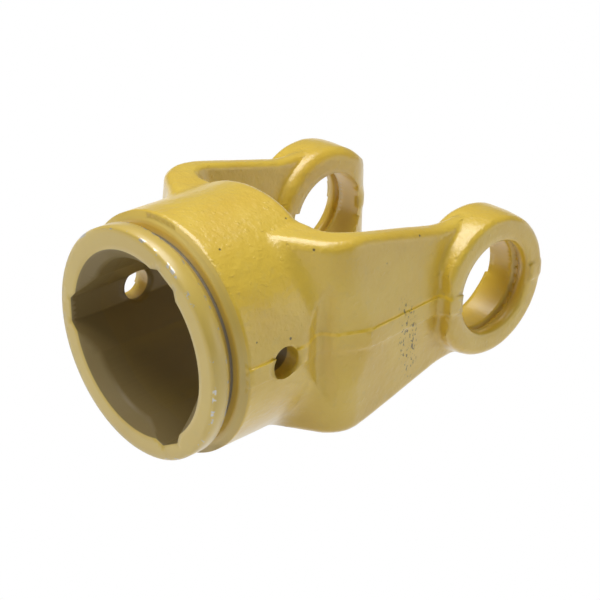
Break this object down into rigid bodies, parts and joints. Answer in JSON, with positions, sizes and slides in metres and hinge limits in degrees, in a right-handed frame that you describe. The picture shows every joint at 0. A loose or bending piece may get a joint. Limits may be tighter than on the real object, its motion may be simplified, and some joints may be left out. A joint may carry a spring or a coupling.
{
  "type": "forged yoke",
  "caption": "Painted forged fork end of a telescopic drive shaft: a hub with a three-lobed tube socket, and a fork whose bored ears carry a universal joint's cross.",
  "frame": {"origin": "centre of the universal joint, where the hub axis meets the axis of the two ear bores", "axes": "+Y along the ear bores; -X along the hub axis, out of the tube socket's mouth; +Z along the die draw, square to the plane on which the dies part"},
  "size_m": [0.1155, 0.0816, 0.0662],
  "materials": {
    "yoke": "satin enamel over a rough forged skin"
  },
  "bodies": {
    "root": {"yoke": "yoke"}
  },
  "joints": []
}
